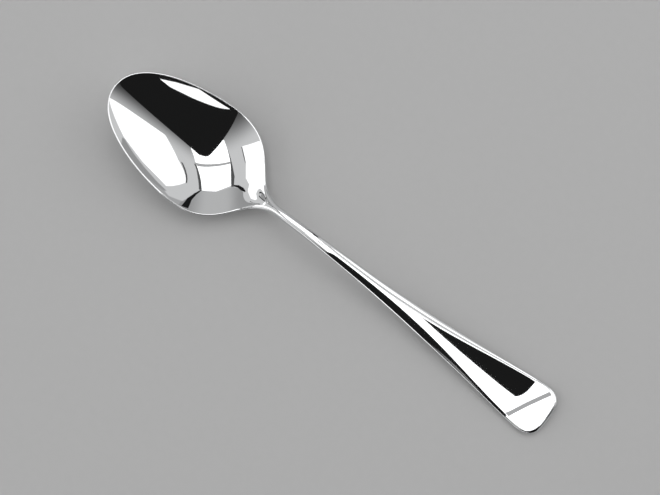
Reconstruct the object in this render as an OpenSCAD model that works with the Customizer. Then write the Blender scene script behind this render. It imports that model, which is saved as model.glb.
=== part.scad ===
// Tablespoon: a one-piece spoon with an egg-shaped bowl, a slim stem and a handle that widens to a squared round end.
// Millimetres, +Z up. X runs from the tip of the bowl to the end of the handle, and the spoon lies on Z = 0.
// The origin is under the middle of the spoon's length.
// A plan outline, a side line, a thickness and a cross bend, all functions of the distance from the tip,
// give every cross-section of the spoon. The bowl and the handle meet at the neck on one shared section.

/* [Plan outline] */
// Length from the tip of the bowl to the end of the handle
length = 205; // [190:1:225]
// Width of the bowl across the outside of its rim
bowl_width = 43.4; // [38:0.2:48]
// Distance from the tip to the widest place of the bowl
bowl_widest_at = 41.2; // [38:0.2:46]
// Fullness of the tip, as a share of the bowl's half-width
tip_fullness = 0.75; // [0.65:0.01:0.85]
// Fullness of the flank ahead of the widest place, as a share of its distance from the tip
flank_fullness = 0.29; // [0.22:0.01:0.36]
// Distance from the tip to the neck, where the bowl ends and the handle begins
neck_at = 77.5; // [74:0.5:81]
// Length of the hollow curve from the shoulder of the bowl into the neck
neck_sweep = 17; // [13:0.5:21]
// Width of the spoon at the neck
neck_width = 3.8; // [3:0.1:5]
// Length of the slim curve from the neck into the widening handle
stem_sweep = 71; // [55:1:80]
// Width of the handle at its widest place
end_width = 20; // [15:0.5:24]
// Length of the rounded end beyond the widest place of the handle
end_round = 7.6; // [6:0.1:11]
// Squareness of the end along the handle, as a share of the rounded length
end_square = 0.96; // [0.6:0.01:0.98]
// Squareness of the end across the handle, as a share of its half-width
end_flatness = 0.54; // [0.4:0.01:0.7]

/* [Side line] */
// Angle at which the rim of the bowl rises towards the tip
bowl_tilt = 12; // [9:0.5:14]
// Distance from the tip to the place where the rim starts to bend up into the neck
neck_bend_from = 56; // [53:0.5:60]
// Distance from the tip to the place where the neck is bent up
neck_bend_to = 70; // [67:0.5:73]
// Angle at which the neck climbs out of the bowl
neck_climb = 18; // [14:0.5:20]
// Distance from the tip to the place where the neck starts to bend into the stem
stem_bend_from = 75; // [73:0.5:77]
// Distance from the tip to the place where the stem is bent
stem_bend_to = 84; // [81:0.5:88]
// Angle at which the stem climbs from the neck
stem_climb = 2.5; // [0:0.5:5]
// Distance from the tip to the place where the stem starts to bend over
crest_from = 84; // [80:1:90]
// Distance from the tip to the place where the handle runs straight down
crest_to = 112; // [106:1:118]
// Distance from the end of the handle to the place where it starts to turn up
turn_from_end = 19; // [16:0.5:24]
// Distance from the end of the handle to the place where it touches the table
touch_from_end = 10.5; // [8:0.5:14]
// Angle at which the end of the handle points up
end_climb = 11; // [8:0.5:15]

/* [Cross-sections] */
// Depth of the hollow of the bowl at its widest place
bowl_depth = 9; // [7:0.5:12]
// Thickness of the bowl in the middle
bowl_thickness = 1.6; // [1.2:0.1:2.4]
// Thickness of the rim
rim_thickness = 0.8; // [0.6:0.1:1.4]
// Thickness of the stem
stem_thickness = 3.8; // [3:0.1:5]
// Share of the stem's half-width that is taken up by the round of its edge
stem_round = 0.85; // [0.7:0.05:0.95]
// Distance from the tip to the place where the round stem starts to flatten
flatten_at = 102; // [96:1:112]
// Thickness of the handle in the middle near the end
handle_thickness = 2.1; // [1.6:0.1:3]
// Thickness of the handle at its edges near the end
handle_edge = 1.9; // [1.4:0.1:2.4]
// Reach of the round of the handle's edges near the end
handle_round = 1.2; // [0.9:0.1:1.7]
// Depth of the shallow dish across the handle at its widest place
handle_dish = 0.75; // [0.2:0.05:1.4]

/* [Hidden] */
steel = [0.78, 0.79, 0.8];

// Half-widths that the plan outline runs through
bowl_half = bowl_width / 2;
neck_half = neck_width / 2;
end_half = end_width / 2;

// Pulls of the outline curves; those on both sides of a widest place give the same curvature there
tip_pull = tip_fullness * bowl_half;
flank_pull = flank_fullness * bowl_widest_at;
shoulder_pull = flank_pull * sqrt((bowl_half - neck_half) / (bowl_half - tip_pull));
end_widest_at = length - end_round;
end_pull = end_square * end_round;
end_spread = end_flatness * end_half;
flare_pull = end_pull * sqrt((end_half - neck_half) / (end_half - end_spread));

// Plan outline of one half of the spoon as four cubic curves: tip, shoulder, stem and end
outline = [
    [[0, 0], [0, tip_pull], [bowl_widest_at - flank_pull, bowl_half], [bowl_widest_at, bowl_half]],
    [[bowl_widest_at, bowl_half], [bowl_widest_at + shoulder_pull, bowl_half],
     [neck_at - neck_sweep, neck_half], [neck_at, neck_half]],
    [[neck_at, neck_half], [neck_at + stem_sweep, neck_half],
     [end_widest_at - flare_pull, end_half], [end_widest_at, end_half]],
    [[end_widest_at, end_half], [end_widest_at + end_pull, end_half], [length, end_spread], [length, 0]]
];
tip_radius = 1.5 * tip_pull * tip_pull / (bowl_widest_at - flank_pull);

// Steps along each of the four curves, across half a section and round an edge
curve_steps = [20, 22, 28, 14];
half_steps = 8;
round_steps = 6;

// Places between which the section changes from bowl to stem and from stem to handle
shoulder_at = (bowl_widest_at + neck_at) / 2;
touch_at = length - touch_from_end;
turn_at = length - turn_from_end;
dish_at = (flatten_at + touch_at) / 2;

// Slopes of the straight runs of the side line that are given
bowl_slope = -tan(bowl_tilt);
neck_slope = tan(neck_climb);
stem_slope = tan(stem_climb);
end_slope = tan(end_climb);

// Height of the rim at its widest place, so that the tilted bowl and the handle both lie on the table
widest_radius = 1.5 * pow(flank_pull, 2) / (bowl_half - tip_pull);
tilt_drop = pow(bowl_slope, 2) * widest_radius * bowl_half / (4 * bowl_depth);
rim_height = bowl_depth + bowl_thickness / 2 + tilt_drop;
touch_height = handle_thickness / 2;

// Bend across the bowl and across the handle, as depth over half-width squared
bowl_bend = bowl_depth / pow(bowl_half - rim_thickness / 2, 2);
dish_bend = handle_dish / pow(end_half, 2);

// Step for slopes that are taken by difference
tiny = 0.01;

function unit(v) = v / norm(v);

// Rises smoothly from 0 at the first place to 1 at the second
function ease(x, from, to) =
    let (s = min(1, max(0, (x - from) / (to - from))))
    pow(s, 3) * (10 - 15 * s + 6 * s * s);

// Value that goes smoothly from the bowl's to the stem's and on to the handle's
function along(x, in_bowl, in_stem, in_handle) =
    in_bowl + (in_stem - in_bowl) * ease(x, shoulder_at, neck_at)
    + (in_handle - in_stem) * ease(x, flatten_at, touch_at);

// Point of a cubic curve and its direction there
function on_curve(p, t) =
    pow(1 - t, 3) * p[0] + 3 * pow(1 - t, 2) * t * p[1] + 3 * (1 - t) * t * t * p[2] + pow(t, 3) * p[3];
function direction(p, t) =
    unit(pow(1 - t, 2) * (p[1] - p[0]) + 2 * (1 - t) * t * (p[2] - p[1]) + t * t * (p[3] - p[2]));

// Area under the smooth rise from 0 to 1
function eased_run(x, from, to) =
    let (s = min(1, max(0, (x - from) / (to - from))))
    (to - from) * pow(s, 4) * (2.5 - 3 * s + s * s) + max(0, x - to);

// Climb of the side line up to a place: straight runs joined by the bends of the neck, the stem, the crest and the end
function climb(x, handle_slope) =
    bowl_slope * x + (neck_slope - bowl_slope) * eased_run(x, neck_bend_from, neck_bend_to)
    + (stem_slope - neck_slope) * eased_run(x, stem_bend_from, stem_bend_to)
    + (handle_slope - stem_slope) * eased_run(x, crest_from, crest_to)
    + (end_slope - handle_slope) * eased_run(x, turn_at, length);

// Slope of the handle that brings the side line from the rim down to where the handle touches the table
function drop(handle_slope) = climb(bowl_widest_at, handle_slope) - climb(touch_at, handle_slope);
handle_slope = (rim_height - touch_height - drop(0)) / (drop(1) - drop(0));

// Side line: height of the rim along the bowl and of the middle line along the handle
function height(x) = rim_height + climb(x, handle_slope) - climb(bowl_widest_at, handle_slope);

// Bend of the bowl, which hangs from its rim, and of the handle's dish, which rises from its middle line
function hollow(x) = bowl_bend * (1 - ease(x, neck_bend_to, crest_from));
function dish(x) = dish_bend * ease(x, flatten_at, dish_at);

// Slopes along the spoon of the side line and of the two bends
function height_slope(x) = (height(x + tiny) - height(x - tiny)) / (2 * tiny);
function hollow_slope(x) = (hollow(x + tiny) - hollow(x - tiny)) / (2 * tiny);
function dish_slope(x) = (dish(x + tiny) - dish(x - tiny)) / (2 * tiny);

// Half-thickness of the section in the middle and at its edge
function half_middle(x) = along(x, bowl_thickness, stem_thickness, handle_thickness) / 2;
function half_edge(x) = along(x, rim_thickness, stem_thickness, handle_edge) / 2;

// Reach of the edge's round inside a point of the outline
function reach(point) =
    let (stem_half = point[0] < neck_at ? neck_half : point[1])
    along(point[0], rim_thickness / 2, stem_round * stem_half, handle_round);

// Middle surface of the section that ends inside a point of the outline: its distance from the tip, its half-width,
// the steepness of the bowl at the rim square to the outline, and the reach of the edge's round
function seat(point, out) =
    let (r = reach(point), x = point[0] - r * out[0], half = point[1] - r * out[1])
    [x, half, 2 * hollow(x) * (out[1] > tiny ? half / out[1] : tip_radius - r), r];

// Point of the middle surface across the section, and the upward normal there
function middle(s, y) = [s[0], y, height(s[0]) - hollow(s[0]) * (s[1] * s[1] - y * y) + dish(s[0]) * y * y];
function normal(s, y, out) =
    unit([
        hollow_slope(s[0]) * (s[1] * s[1] - y * y) - dish_slope(s[0]) * y * y - height_slope(s[0]) - s[2] * out[0],
        -2 * (hollow(s[0]) + dish(s[0])) * y,
        1
    ]);

// Skin of the section from its right edge to its left on one side of the middle surface, +1 on top and -1 below
function skin(s, out, side) = [
    for (i = [-half_steps : half_steps])
        let (v = i / half_steps, edge = half_edge(s[0]))
        middle(s, s[1] * v)
        + side * (edge + (half_middle(s[0]) - edge) * pow(1 - v * v, 2)) * normal(s, s[1] * v, out)
];

// Round of the left edge between the two skins, from the top down
function left_round(s, out) =
    let (up = normal(s, s[1], out), run = [out[1], -out[0], (up[1] * out[0] - up[0] * out[1]) / up[2]])
    [for (i = [1 : round_steps - 1])
        middle(s, s[1]) + s[3] * sin(180 * i / round_steps) * unit(cross(up, run))
        + half_edge(s[0]) * cos(180 * i / round_steps) * up];

// The same points on the other side of the spoon, or in the other order
function mirrored(points) = [for (p = points) [p[0], -p[1], p[2]]];
function reversed(points) = [for (i = [len(points) - 1 : -1 : 0]) points[i]];

// Closed section: top from right to left, left edge, bottom from left to right, right edge
function section(point, out) =
    let (s = seat(point, out), edge = left_round(s, out))
    concat(skin(s, out, 1), edge, reversed(skin(s, out, -1)), reversed(mirrored(edge)));

// All sections from the tip to the end; the first and the last close up to one upright round
rings = [
    for (c = [0 : len(outline) - 1], i = [(c == 0 ? 0 : 1) : curve_steps[c]])
        let (d = direction(outline[c], i / curve_steps[c]))
        section(on_curve(outline[c], i / curve_steps[c]), [-d[1], d[0]])
];
neck_ring = curve_steps[0] + curve_steps[1];
end_ring = len(rings) - 1;
ring_size = len(rings[0]);
left_edge = 2 * half_steps;

// Lowest place of the spoon, which lies on the table
lowest = min([for (r = rings, p = r) p[2]]);

// Points that stand for a whole section at the tip and at the end, and the one that stands for point j
function closing_points(ring) = [for (k = [0 : round_steps]) ring[left_edge + k]];
function closing_index(j) = max(0, min(j - left_edge, round_steps, ring_size - j));

// Solid between two sections, closed by a flat face at the neck
module loft(first, final) {
    closed_start = first == 0;
    closed_end = final == end_ring;
    points = [
        for (r = [first : final])
            each (r == 0 || r == end_ring ? closing_points(rings[r]) : rings[r])
    ];
    start_size = closed_start ? round_steps + 1 : ring_size;
    function index(r, j) =
        (r == first ? 0 : start_size + (r - first - 1) * ring_size)
        + (r == 0 || r == end_ring ? closing_index(j % ring_size) : j % ring_size);
    sides = [
        for (r = [first : final - 1], j = [0 : ring_size - 1])
            let (a = index(r, j), b = index(r, j + 1), c = index(r + 1, j + 1), d = index(r + 1, j))
            each [[a, b, c], [a, c, d]]
    ];
    cut_ring = closed_start ? final : first;
    cut_face = [for (j = [0 : ring_size - 1]) index(cut_ring, left_edge + round_steps / 2 + j)];
    translate([-length / 2, 0, -lowest])
        polyhedron(
            points,
            concat(
                [for (f = sides) if (f[0] != f[1] && f[1] != f[2] && f[2] != f[0]) f],
                [closed_start ? cut_face : reversed(cut_face)]
            )
        );
}

// Egg-shaped bowl with its rim and shoulders, up to the neck
module bowl() {
    color(steel) loft(0, neck_ring);
}

// Stem and handle, from the neck to the squared round end
module handle() {
    color(steel) loft(neck_ring, end_ring);
}

bowl();
handle();
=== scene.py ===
"""A mirror-polished steel tablespoon lying on a plain pale table under a soft studio ceiling."""
import math

import bmesh
import bpy
import numpy as np
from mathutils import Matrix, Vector


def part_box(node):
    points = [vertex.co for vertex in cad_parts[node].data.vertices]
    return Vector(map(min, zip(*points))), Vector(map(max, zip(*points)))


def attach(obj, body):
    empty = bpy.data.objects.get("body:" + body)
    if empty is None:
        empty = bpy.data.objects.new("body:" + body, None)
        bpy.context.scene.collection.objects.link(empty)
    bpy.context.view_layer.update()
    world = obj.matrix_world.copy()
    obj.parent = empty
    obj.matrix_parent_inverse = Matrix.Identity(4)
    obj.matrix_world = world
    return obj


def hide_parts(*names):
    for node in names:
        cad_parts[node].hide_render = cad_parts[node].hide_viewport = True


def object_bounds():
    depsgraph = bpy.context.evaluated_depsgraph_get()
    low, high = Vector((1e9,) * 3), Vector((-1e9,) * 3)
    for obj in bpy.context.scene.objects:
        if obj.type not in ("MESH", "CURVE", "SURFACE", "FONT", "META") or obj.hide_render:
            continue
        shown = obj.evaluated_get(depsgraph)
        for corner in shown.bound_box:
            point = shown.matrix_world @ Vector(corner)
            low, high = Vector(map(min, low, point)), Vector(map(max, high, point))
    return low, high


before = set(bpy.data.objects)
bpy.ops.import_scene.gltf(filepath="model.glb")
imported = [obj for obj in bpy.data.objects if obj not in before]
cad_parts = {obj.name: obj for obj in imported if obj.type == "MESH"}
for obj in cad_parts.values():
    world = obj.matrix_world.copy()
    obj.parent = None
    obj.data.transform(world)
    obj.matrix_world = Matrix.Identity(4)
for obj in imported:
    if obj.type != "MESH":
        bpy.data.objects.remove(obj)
cad_low, cad_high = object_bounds()

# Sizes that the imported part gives, in metres. Distances along the spoon count from the tip of the bowl.
bowl_low, bowl_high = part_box("bowl")
handle_low, handle_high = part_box("handle")
TIP_X = cad_low[0]
LENGTH = cad_high[0] - cad_low[0]
BOWL_HALF = (bowl_high[1] - bowl_low[1]) / 2
END_HALF = (handle_high[1] - handle_low[1]) / 2
NECK_AT = (bowl_high[0] + handle_low[0]) / 2 - TIP_X

# Outline seen from above: places, half widths, and how far each curve pulls before it turns.
WIDEST_AT = 0.0412
NECK_HALF = 0.0019
TIP_PULL = 0.75 * BOWL_HALF
FLANK_PULL = 0.29 * WIDEST_AT
NECK_SWEEP = 0.017
STEM_SWEEP = 0.071
END_ROUND = 0.0076
END_PULL = 0.96 * END_ROUND
END_FLAT = 0.54 * END_HALF

# Side line: straight runs joined by the bends of the neck, the crest and the end.
BOWL_SLOPE = -math.tan(math.radians(12))
NECK_SLOPE = math.tan(math.radians(18))
STEM_SLOPE = math.tan(math.radians(4))
CREST_DIP = math.tan(math.radians(-2.2))
NECK_BEND_FROM = 0.056
NECK_BEND_TO = 0.070
STEM_BEND_FROM = 0.075
STEM_BEND_TO = 0.084
CREST_FROM = 0.084
CREST_TO = 0.106
DIP_FROM = 0.120
DIP_TO = 0.145
TURN_AT = LENGTH - 0.0162
TURN_SOFT = 0.003
TURN_RATE = math.radians(1.4) / 0.001
TOUCH_AT = LENGTH - 0.0105

# Sections.
BOWL_DEPTH = 0.009
BOWL_THICKNESS = 0.0016
RIM_THICKNESS = 0.0008
STEM_THICKNESS = 0.0038
STEM_ROUND = 0.93
HANDLE_THICKNESS = 0.0021
HANDLE_ROUND = 0.0013
HANDLE_DISH = 0.00075
FLATTEN_AT = 0.102
BEVEL_FROM = 0.082
BEVEL_TO = 0.106
BEVEL_SLOPE = 0.92
BEVEL_CORNER = 8
SHOULDER_AT = (WIDEST_AT + NECK_AT) / 2
DISH_AT = (FLATTEN_AT + TOUCH_AT) / 2

# Lip that ends the hollow at the neck: a low narrow ridge along a bow across the middle line.
LIP_AT = 0.0717
LIP_BOW = 300
LIP_SLOPE = 0.16
LIP_WIDTH = 0.0007
LIP_SOFT = 0.0003
LIP_FADE_FROM = 0.0645
LIP_FADE_TO = 0.0685

# Fineness of the mesh, and the small distances that its sums and its welding use.
CURVE_STEPS = (110, 240, 140, 90)
HALF_STEPS = 30
ROUND_STEPS = 24
POINT_HALF = 1e-9
SIDEWAYS_LEAST = 0.01
NUDGE = 1e-7
WELD_DISTANCE = 1e-7
SLIVER = 1e-8

# A cubic curve's radius at its end is this many times the square of its pull over its rise.
END_RADIUS = 1.5


def ease(x, start, stop):
    """Smooth step from 0 at start to 1 at stop."""
    s = np.clip((x - start) / (stop - start), 0, 1)
    return s ** 3 * (10 - 15 * s + 6 * s * s)


def spread(x, start, stop):
    """Area under the smooth step."""
    s = np.clip((x - start) / (stop - start), 0, 1)
    return (stop - start) * s ** 4 * (2.5 - 3 * s + s * s) + np.maximum(x - stop, 0)


def blend(x, bowl, stem, handle):
    """A size that changes from the bowl to the stem and from the stem to the handle."""
    return (bowl + (stem - bowl) * ease(x, SHOULDER_AT, NECK_AT)
            + (handle - stem) * ease(x, FLATTEN_AT, TOUCH_AT))


def turn_up(x, step):
    """Bend of even curvature at the end, with a soft start.

    With step = spread this is the bend's height, with step = ease its slope.
    """
    u = np.maximum(x - TURN_AT, 0)
    soft = np.minimum(u, TURN_SOFT)
    if step is ease:
        return TURN_RATE * (soft ** 2 / (2 * TURN_SOFT) + u - soft)
    return TURN_RATE * (soft ** 3 / (6 * TURN_SOFT) + (u ** 2 - soft ** 2) / 2 - TURN_SOFT / 2 * (u - soft))


def side_run(x, handle_slope, step):
    """Side line for a slope of the handle: its height with step = spread, its slope with step = ease."""
    start = x if step is spread else 1
    crest_slope = handle_slope + CREST_DIP
    return (BOWL_SLOPE * start + (NECK_SLOPE - BOWL_SLOPE) * step(x, NECK_BEND_FROM, NECK_BEND_TO)
            + (STEM_SLOPE - NECK_SLOPE) * step(x, STEM_BEND_FROM, STEM_BEND_TO)
            + (crest_slope - STEM_SLOPE) * step(x, CREST_FROM, CREST_TO)
            - CREST_DIP * step(x, DIP_FROM, DIP_TO) + turn_up(x, step))


# The tilted bowl settles on a place behind its widest one, which lifts its rim a little.
WIDEST_RADIUS = END_RADIUS * FLANK_PULL ** 2 / (BOWL_HALF - TIP_PULL)
SETTLE = BOWL_SLOPE ** 2 * WIDEST_RADIUS * BOWL_HALF / (4 * BOWL_DEPTH)
RIM_HEIGHT = BOWL_DEPTH + BOWL_THICKNESS / 2 + SETTLE


def fall(handle_slope):
    """Height lost from the widest place of the bowl to where the handle touches the table."""
    return side_run(WIDEST_AT, handle_slope, spread) - side_run(TOUCH_AT, handle_slope, spread)


# The handle's slope is the one that brings its underside down to the table.
HANDLE_SLOPE = (RIM_HEIGHT - HANDLE_THICKNESS / 2 - fall(0.0)) / (fall(1.0) - fall(0.0))


def height(x):
    """Height of the side line over the table."""
    return RIM_HEIGHT + side_run(x, HANDLE_SLOPE, spread) - side_run(WIDEST_AT, HANDLE_SLOPE, spread)


HOLLOW_HALF = BOWL_HALF - RIM_THICKNESS / 2
HOLLOW = BOWL_DEPTH / HOLLOW_HALF ** 2


def deep(x, half):
    """Depth of the hollow on the middle line, where the sheet is so many metres wide to each side."""
    return HOLLOW * half ** 2 * (1 - ease(x, NECK_BEND_TO, CREST_FROM))


def dish(x):
    """Handle's dish per square of its half width."""
    return HANDLE_DISH / END_HALF ** 2 * ease(x, FLATTEN_AT, DISH_AT)


def level(x, y, half):
    """Height of the sheet midway between the upper and the lower skin."""
    share = np.where(half > POINT_HALF, y ** 2 / np.maximum(half, POINT_HALF) ** 2, 1.0)
    return height(x) - deep(x, half) * (1 - share) + dish(x) * y ** 2


def lip(x, y):
    """Height of the lip over the upper skin."""
    d = (x - LIP_AT + LIP_BOW * y ** 2) / np.sqrt(1 + (2 * LIP_BOW * y) ** 2)
    rise = spread(d, -LIP_WIDTH - LIP_SOFT, -LIP_WIDTH + LIP_SOFT) - spread(d, -LIP_SOFT, LIP_SOFT)
    drop = spread(d, -LIP_SOFT, LIP_SOFT) - spread(d, LIP_WIDTH - LIP_SOFT, LIP_WIDTH + LIP_SOFT)
    return LIP_SLOPE * (rise - drop) * ease(x, LIP_FADE_FROM, LIP_FADE_TO)


def unit(vectors):
    """The same directions with length 1."""
    return vectors / np.linalg.norm(vectors, axis=-1, keepdims=True)


def outline():
    """Points of half the outline from the tip to the end, and the directions square to it."""
    end_wide = LENGTH - END_ROUND
    shoulder_pull = FLANK_PULL * math.sqrt((BOWL_HALF - NECK_HALF) / (BOWL_HALF - TIP_PULL))
    flare_pull = END_PULL * math.sqrt((END_HALF - NECK_HALF) / (END_HALF - END_FLAT))
    tip, widest, neck, wide_end, end = (
        (0, 0), (WIDEST_AT, BOWL_HALF), (NECK_AT, NECK_HALF), (end_wide, END_HALF), (LENGTH, 0))
    curves = (
        (tip, (0, TIP_PULL), (WIDEST_AT - FLANK_PULL, BOWL_HALF), widest),
        (widest, (WIDEST_AT + shoulder_pull, BOWL_HALF), (NECK_AT - NECK_SWEEP, NECK_HALF), neck),
        (neck, (NECK_AT + STEM_SWEEP, NECK_HALF), (end_wide - flare_pull, END_HALF), wide_end),
        (wide_end, (end_wide + END_PULL, END_HALF), (LENGTH, END_FLAT), end))
    points, runs = [], []
    for curve, steps in zip(curves, CURVE_STEPS):
        a, b, c, d = np.array(curve, float)
        first = 1 if points else 0
        t = np.linspace(0, 1, steps + 1)[first:, None]
        points.append((1 - t) ** 3 * a + 3 * (1 - t) ** 2 * t * b + 3 * (1 - t) * t * t * c + t ** 3 * d)
        runs.append(unit((1 - t) ** 2 * (b - a) + 2 * (1 - t) * t * (c - b) + t * t * (d - c)))
    points, runs = np.vstack(points), np.vstack(runs)
    return points, np.stack([-runs[:, 1], runs[:, 0]], 1)


def sheet_slopes(line, y, wide, widening):
    """Slopes of the sheet along and across the spoon, from a small step to each side."""
    ahead = level(line + NUDGE, y, np.maximum(wide + NUDGE * widening, 0))
    behind = level(line - NUDGE, y, np.maximum(wide - NUDGE * widening, 0))
    climb = (ahead - behind) / (2 * NUDGE)
    lean = (level(line, y + NUDGE, wide) - level(line, y - NUDGE, wide)) / (2 * NUDGE)
    return climb, lean


def edge_round(x, reach, edge):
    """Shares of the reach outwards and rises over the sheet, round an edge from the upper to the lower skin."""
    turn = np.linspace(0, math.pi, ROUND_STEPS + 1)[1:-1]
    share = np.sin(turn)
    drop = np.minimum(BEVEL_SLOPE * reach / 2, edge)[:, None]
    corner = np.maximum(1 - share ** BEVEL_CORNER, 0) ** (1 / BEVEL_CORNER)
    bevel = ((edge[:, None] - drop) * corner + drop * (1 - share ** 2)) * np.sign(np.cos(turn))
    bevelled = ease(x, BEVEL_FROM, BEVEL_TO)[:, None]
    return share, (1 - bevelled) * edge[:, None] * np.cos(turn) + bevelled * bevel


def spoon_sections():
    """Closed sections from the tip to the end: upper skin, one edge, lower skin, other edge."""
    edge_points, out = outline()
    stem_half = np.where(edge_points[:, 0] < NECK_AT, NECK_HALF, edge_points[:, 1])
    reach = blend(edge_points[:, 0], RIM_THICKNESS / 2, STEM_ROUND * stem_half, HANDLE_ROUND)
    x = edge_points[:, 0] - reach * out[:, 0]
    half = edge_points[:, 1] - reach * out[:, 1]
    half[[0, -1]] = 0

    # The sheet midway between the skins, and its direction upwards.
    across = np.sin(np.linspace(-math.pi / 2, math.pi / 2, 2 * HALF_STEPS + 1))
    y = half[:, None] * across
    line = np.repeat(x[:, None], len(across), 1)
    wide = np.repeat(half[:, None], len(across), 1)
    sheet = np.stack([line, y, level(line, y, wide)], 2)
    sideways = out[:, 1] > SIDEWAYS_LEAST
    widening = -np.where(sideways, out[:, 0] / np.where(sideways, out[:, 1], 1), 0)[:, None]
    climb, lean = sheet_slopes(line, y, wide, widening)
    tip_radius = END_RADIUS * TIP_PULL ** 2 / (WIDEST_AT - FLANK_PULL)
    hollow_slope = 2 * HOLLOW * (tip_radius - reach) * out[:, 0] * (x < WIDEST_AT)
    at_ends = side_run(x, HANDLE_SLOPE, ease) + hollow_slope
    ends = ~sideways
    climb[ends] = at_ends[ends][:, None]
    lean[ends] = 0
    normal = unit(np.stack([-climb, -lean, np.ones_like(climb)], 2))

    # The skins: the sheet thins from the middle line to the rim, and in the bowl towards the tip as well.
    middle = blend(x, BOWL_THICKNESS, STEM_THICKNESS, HANDLE_THICKNESS) / 2
    edge = blend(x, RIM_THICKNESS, STEM_THICKNESS, HANDLE_THICKNESS) / 2
    fullness = np.where(x < WIDEST_AT, half / HOLLOW_HALF, 1)[:, None] ** 2 * (1 - across ** 2)
    skin = (edge[:, None] + (middle - edge)[:, None] * fullness ** 2)[:, :, None] * normal
    upper = sheet + skin
    upper[:, :, 2] += lip(line, y) * (1 - across ** 2)
    lower = sheet - skin

    # The edges, square to the outline and to the sheet's border.
    up = normal[:, -1]
    along_rise = (up[:, 1] * out[:, 0] - up[:, 0] * out[:, 1]) / up[:, 2]
    along = np.stack([out[:, 1], -out[:, 0], along_rise], 1)
    outward = unit(np.cross(up, along))
    share, rise = edge_round(x, reach, edge)
    left = (sheet[:, -1][:, None] + reach[:, None, None] * share[:, None] * outward[:, None]
            + rise[:, :, None] * up[:, None])
    right = left * (1, -1, 1)

    sections = np.concatenate([upper, left, lower[:, ::-1], right[:, ::-1]], 1)
    sections[:, :, 0] += TIP_X
    sections[:, :, 2] -= sections[:, :, 2].min()
    return sections


def spoon_mesh():
    """Skin of four-cornered faces over the sections."""
    sections = spoon_sections()
    rings, around = sections.shape[:2]
    index = np.arange(rings * around).reshape(rings, around)
    following = np.roll(index, -1, axis=1)
    quads = np.stack([index[:-1], index[1:], following[1:], following[:-1]], 2).reshape(-1, 4)
    mesh = bpy.data.meshes.new("spoon")
    mesh.from_pydata(sections.reshape(-1, 3).tolist(), [], quads.tolist())
    return mesh


def weld(mesh):
    """Joins the points that fall together at the tip and the end, and turns every face outwards."""
    work = bmesh.new()
    work.from_mesh(mesh)
    bmesh.ops.remove_doubles(work, verts=work.verts, dist=WELD_DISTANCE)
    bmesh.ops.dissolve_degenerate(work, edges=work.edges, dist=SLIVER)
    bmesh.ops.recalc_face_normals(work, faces=work.faces)
    for face in work.faces:
        face.smooth = True
    work.to_mesh(mesh)
    work.free()


def add(name, mesh):
    obj = bpy.data.objects.new(name, mesh)
    bpy.context.scene.collection.objects.link(obj)
    return obj


# Steel: two tones and two degrees of polish in faint clouds, and fine lines along the spoon.
STEEL_TONES = ((0.76, 0.77, 0.78, 1), (0.80, 0.805, 0.81, 1))
STEEL_ROUGHNESS = (0.015, 0.04)
CLOUD_SCALE = 45
CLOUD_DETAIL = 3
LINE_SCALE = (60, 2600, 2600)
LINE_DETAIL = 2
LINE_STRENGTH = 0.006
LINE_DEPTH = 0.00002

# Table.
TABLE_TONES = ((0.465, 0.465, 0.465, 1), (0.48, 0.48, 0.48, 1))
TABLE_ROUGHNESS = 0.9
TABLE_GLOSS = 0.1
TOOTH_SCALE = 300
TOOTH_DETAIL = 2
FLOOR_HALF = 7.0

# Sockets of the colour mixing node.
MIX_FIRST = 6
MIX_SECOND = 7
MIX_RESULT = 2


def node_material(name):
    material = bpy.data.materials.new(name)
    material.use_nodes = True
    tree = material.node_tree
    return material, tree, tree.nodes["Principled BSDF"]


def noise(tree, place, scale, detail):
    """Noise at a place, from 0 to 1."""
    grain = tree.nodes.new("ShaderNodeTexNoise")
    grain.inputs["Scale"].default_value = scale
    grain.inputs["Detail"].default_value = detail
    tree.links.new(place, grain.inputs["Vector"])
    return grain.outputs["Fac"]


def tint(tree, surface, share, tones):
    """Gives the surface a colour between two tones."""
    colour = tree.nodes.new("ShaderNodeMix")
    colour.data_type = "RGBA"
    colour.inputs[MIX_FIRST].default_value, colour.inputs[MIX_SECOND].default_value = tones
    tree.links.new(share, colour.inputs["Factor"])
    tree.links.new(colour.outputs[MIX_RESULT], surface.inputs["Base Color"])


def steel():
    """Polished steel: nearly a mirror, with faint cloudiness and fine polishing lines along the spoon."""
    material, tree, surface = node_material("polished_steel")
    node, link = tree.nodes.new, tree.links.new
    place = node("ShaderNodeTexCoord").outputs["Object"]
    cloud = noise(tree, place, CLOUD_SCALE, CLOUD_DETAIL)
    tint(tree, surface, cloud, STEEL_TONES)
    shine = node("ShaderNodeMapRange")
    shine.inputs["To Min"].default_value, shine.inputs["To Max"].default_value = STEEL_ROUGHNESS
    link(cloud, shine.inputs["Value"])
    link(shine.outputs["Result"], surface.inputs["Roughness"])
    stretch = node("ShaderNodeMapping")
    stretch.inputs["Scale"].default_value = LINE_SCALE
    link(place, stretch.inputs["Vector"])
    bump = node("ShaderNodeBump")
    bump.inputs["Strength"].default_value = LINE_STRENGTH
    bump.inputs["Distance"].default_value = LINE_DEPTH
    link(noise(tree, stretch.outputs["Vector"], 1, LINE_DETAIL), bump.inputs["Height"])
    link(bump.outputs["Normal"], surface.inputs["Normal"])
    surface.inputs["Metallic"].default_value = 1
    return material


def table_top():
    """Matt pale grey with a barely visible tooth."""
    material, tree, surface = node_material("table_top")
    place = tree.nodes.new("ShaderNodeTexCoord").outputs["Object"]
    tint(tree, surface, noise(tree, place, TOOTH_SCALE, TOOTH_DETAIL), TABLE_TONES)
    surface.inputs["Roughness"].default_value = TABLE_ROUGHNESS
    surface.inputs["Specular IOR Level"].default_value = TABLE_GLOSS
    return material


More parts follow.
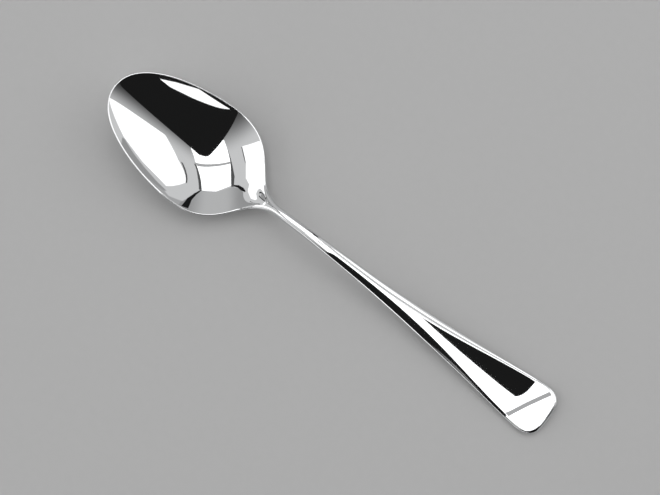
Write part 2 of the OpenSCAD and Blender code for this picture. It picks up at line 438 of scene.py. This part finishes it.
def floor():
    mesh = bpy.data.meshes.new("floor")
    corners = [(x * FLOOR_HALF, y * FLOOR_HALF, 0) for x, y in ((-1, -1), (1, -1), (1, 1), (-1, 1))]
    mesh.from_pydata(corners, [], [(0, 1, 2, 3)])
    obj = add("floor", mesh)
    obj.data.materials.append(table_top())


# View: the camera looks down on the spoon along the photograph's direction.
CAMERA_AZIMUTH = math.radians(37.34)
CAMERA_ELEVATION = math.radians(84)
CAMERA_DISTANCE = 0.58886
CAMERA_TARGET = Vector((TIP_X + 0.10044, 0.00134, 0.008))
CAMERA_LENS = 85
CAMERA_SENSOR = 36
CAMERA_NEAR = 0.01
CAMERA_FAR = 100
UP = Vector((0, 0, 1))
VIEW_RIGHT = Vector((math.cos(CAMERA_AZIMUTH), math.sin(CAMERA_AZIMUTH), 0))
VIEW_BACK = Vector((-math.sin(CAMERA_AZIMUTH), math.cos(CAMERA_AZIMUTH), 0))


def place_camera():
    data = bpy.data.cameras.new("camera")
    data.lens = CAMERA_LENS
    data.sensor_width = CAMERA_SENSOR
    data.clip_start = CAMERA_NEAR
    data.clip_end = CAMERA_FAR
    camera = add("camera", data)
    away = UP * math.sin(CAMERA_ELEVATION) - VIEW_BACK * math.cos(CAMERA_ELEVATION)
    camera.location = CAMERA_TARGET + CAMERA_DISTANCE * away
    camera.rotation_euler = away.to_track_quat("Z", "Y").to_euler()
    bpy.context.scene.camera = camera


# Studio: panels on a dome over the bowl make a soft tent that is open at the front. A panel's corners are
# directions from the bowl, in degrees to the right and to the back of straight up, as the camera sees them.
# Panels that overlap lie in layers, the nearer one in front.
DOME_CENTRE = Vector((TIP_X + 0.042, 0, 0))
FACET = 4.0
FAR = 8.0
FRONT = 3.0
SIDE = 1.2
LAYER = 0.04

# Strengths of the light.
MIDDLE_WHITE = 2.0
SIDE_WHITE = 1.5
FABRIC = 0.70
SHADE = 0.05
BACKDROP = 0.55
SEAM = 0.48
SIDE_SHADE = 0.36
GAP = 0.10
DARK = 0.012
SURROUND = 0.45

# Where the cloth goes from shade to light, in degrees to the back, and how this leans to each side.
CLOTH_RIGHT = (-22, 22)
CLOTH_RIGHT_LEAN = 0.375
CLOTH_LEFT = (-54, -3)
CLOTH_LEFT_LEAN = 0.47

# Where the backdrop loses light, in degrees to either side, and the share that it loses.
BACKDROP_FADE = (10, 45)
BACKDROP_LOSS = 0.35


def on_dome(right, back, distance):
    """Point in a direction from the bowl."""
    angle = math.radians(math.hypot(right, back))
    turn = math.atan2(right, back)
    out = VIEW_RIGHT * math.sin(turn) + VIEW_BACK * math.cos(turn)
    return DOME_CENTRE + distance * (out * math.sin(angle) + UP * math.cos(angle))


def glow(name):
    """Light of the strength that each point of a panel carries."""
    material = bpy.data.materials.new(name)
    material.use_nodes = True
    tree = material.node_tree
    tree.nodes.clear()
    out = tree.nodes.new("ShaderNodeOutputMaterial")
    light = tree.nodes.new("ShaderNodeEmission")
    tone = tree.nodes.new("ShaderNodeAttribute")
    tone.attribute_name = "tone"
    tree.links.new(tone.outputs["Fac"], light.inputs["Strength"])
    tree.links.new(light.outputs["Emission"], out.inputs["Surface"])
    return material


def panel(name, corners, tone, distance):
    """A panel of the dome, so many metres from the bowl; tone(right, back) gives its strength."""
    work = bmesh.new()
    work.faces.new([work.verts.new((right, back, 0)) for right, back in corners])
    bmesh.ops.triangulate(work, faces=work.faces[:], ngon_method="EAR_CLIP")
    long = [edge for edge in work.edges if edge.calc_length() > FACET]
    while long:
        bmesh.ops.subdivide_edges(work, edges=long, cuts=1)
        bmesh.ops.triangulate(work, faces=work.faces[:])
        long = [edge for edge in work.edges if edge.calc_length() > FACET]
    tones = [tone(vert.co.x, vert.co.y) for vert in work.verts]
    for vert in work.verts:
        vert.co = on_dome(vert.co.x, vert.co.y, distance)
    mesh = bpy.data.meshes.new(name)
    work.to_mesh(mesh)
    work.free()
    mesh.attributes.new("tone", "FLOAT", "POINT").data.foreach_set("value", tones)
    obj = add(name, mesh)
    obj.data.materials.append(glow(name))
    obj.visible_camera = False


def strip(name, line, tone, distance):
    """A panel along a line of (right, back, half width)."""
    sides = [[], []]
    for i, (right, back, half) in enumerate(line):
        before, after = line[max(i - 1, 0)], line[min(i + 1, len(line) - 1)]
        run = Vector((after[0] - before[0], after[1] - before[1])).normalized()
        sides[0].append((right - run.y * half, back + run.x * half))
        sides[1].append((right + run.y * half, back - run.x * half))
    panel(name, sides[0] + sides[1][::-1], tone, distance)


def even(strength):
    """The same strength all over a panel."""
    return lambda right, back: strength


def fabric_tone(right, back):
    """The tent's cloth gets darker towards its open front."""
    if right > 0:
        light = ease(back + CLOTH_RIGHT_LEAN * right, *CLOTH_RIGHT)
    else:
        light = ease(back - CLOTH_LEFT_LEAN * right, *CLOTH_LEFT)
    return SHADE + (FABRIC - SHADE) * float(light)


def backdrop_tone(right, back):
    """The backdrop is lightest in the middle."""
    return BACKDROP * (1 - BACKDROP_LOSS * float(ease(abs(right), *BACKDROP_FADE)))


def tent():
    """Cloth, backdrop and the dark gaps between them, then the lights in front of them."""
    panel("cloth", ((64, -28), (40, -40), (-20, -60), (-60, -64), (-76, -30), (-78, 20), (-55, 50), (-30, 60),
                    (30, 62), (55, 58), (68, 30), (72, 0)), fabric_tone, FAR)
    panel("backdrop", ((33, 47), (22, 41), (0, 43), (-26, 37), (-38, 40), (-44, 46), (-50, 75), (0, 90),
                       (50, 75), (46, 62)), backdrop_tone, FAR - LAYER)
    strip("gap_left", ((-15, -22, 1), (-20, 0, 2.2), (-25.5, 22, 3), (-26.5, 37, 2)),
          even(GAP), FAR - 2 * LAYER)
    strip("gap_right", ((26, 6, 1.2), (26, 22, 1.6), (25, 40, 1.8)),
          even(GAP), FAR - 2 * LAYER)
    strip("wedge_right", ((23, 39.5, 0.6), (31, 47, 1.5), (37, 55, 2.5), (41, 68, 4)),
          even(DARK), FAR - 2 * LAYER)
    strip("wedge_left", ((-25, 34.5, 0.8), (-35, 37, 1.8), (-41, 41.3, 2), (-47, 46, 0.6)),
          even(DARK), FAR - 2 * LAYER)
    strip("right_shade", ((61, 26, 0.4), (62.5, 35, 1.8), (62, 43, 2.2), (60, 50, 2.2), (56, 54, 1)),
          even(SIDE_SHADE), FAR - 2 * LAYER)
    panel("middle_light", ((21.5, -11), (-13, -34), (-19, -4), (-24, 35), (1, 42), (23, 40.5), (26, 6)),
          even(MIDDLE_WHITE), FAR - 3 * LAYER)
    panel("left_light", ((-37, -26), (-62, -28), (-82, -20), (-84, 20), (-78, 42), (-66, 63), (-56, 57),
                         (-51.5, 50), (-49.8, 46), (-49.8, 38), (-46, 31), (-44, 26), (-44, 1)),
          even(SIDE_WHITE), FAR - 3 * LAYER)
    strip("left_edge", ((-36, -25, 0.5), (-40.5, -9, 0.7), (-43.2, 1, 0.3)),
          even(GAP), FAR - 4 * LAYER)
    strip("middle_seam", ((26, 6, 1.8), (6, 1.3, 1.8), (-19.5, -3.5, 1.8)),
          even(SEAM), FAR - 4 * LAYER)


def front():
    """The dark opening with two low strips of light in it."""
    panel("front_dark", ((52, -62), (46, -42), (41, -31), (32, -26.5), (29, -23.5), (23, -18.5), (21, -13.5),
                         (18.8, -7), (13.5, -8.1), (10.4, -9.6), (8.2, -11.7), (3, -18.5), (-3, -27.5),
                         (-13, -37), (-18, -42), (-30, -56), (-50, -75), (-25, -86), (0, -90), (40, -81)),
          even(DARK), FRONT)
    panel("front_strip", ((3, -57.5), (-8, -62), (-20, -66), (-32, -63), (-22, -60), (-10, -57), (0, -55.5)),
          even(SIDE_WHITE), FRONT - LAYER)
    panel("low_strip", ((-22, -75), (-45, -65), (-62, -49), (-72, -50), (-52, -71), (-25, -84)),
          even(SIDE_WHITE), FRONT - LAYER)


def side():
    """The light close by on the right."""
    panel("right_light", ((56, -11), (43, -8.5), (32.5, -6.5), (37, 12), (39.5, 33), (54, 48), (58, 38),
                          (59, 24), (57, 4)), even(SIDE_WHITE), SIDE)
    strip("right_edge", ((35.6, 12, 0.4), (38, 26, 0.6), (39.6, 34, 0.6)),
          even(GAP), SIDE - LAYER / 4)


def surround():
    """Even light from all other directions."""
    scene = bpy.context.scene
    world = bpy.data.worlds.new("world")
    world.use_nodes = True
    background = world.node_tree.nodes["Background"]
    background.inputs["Color"].default_value = (1, 1, 1, 1)
    background.inputs["Strength"].default_value = SURROUND
    scene.world = world
    scene.view_settings.view_transform = "Standard"


mesh = spoon_mesh()
weld(mesh)
spoon = add("spoon", mesh)
spoon.data.materials.append(steel())
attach(spoon, "root")
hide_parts("bowl", "handle")

floor()
tent()
front()
side()
surround()
place_camera()
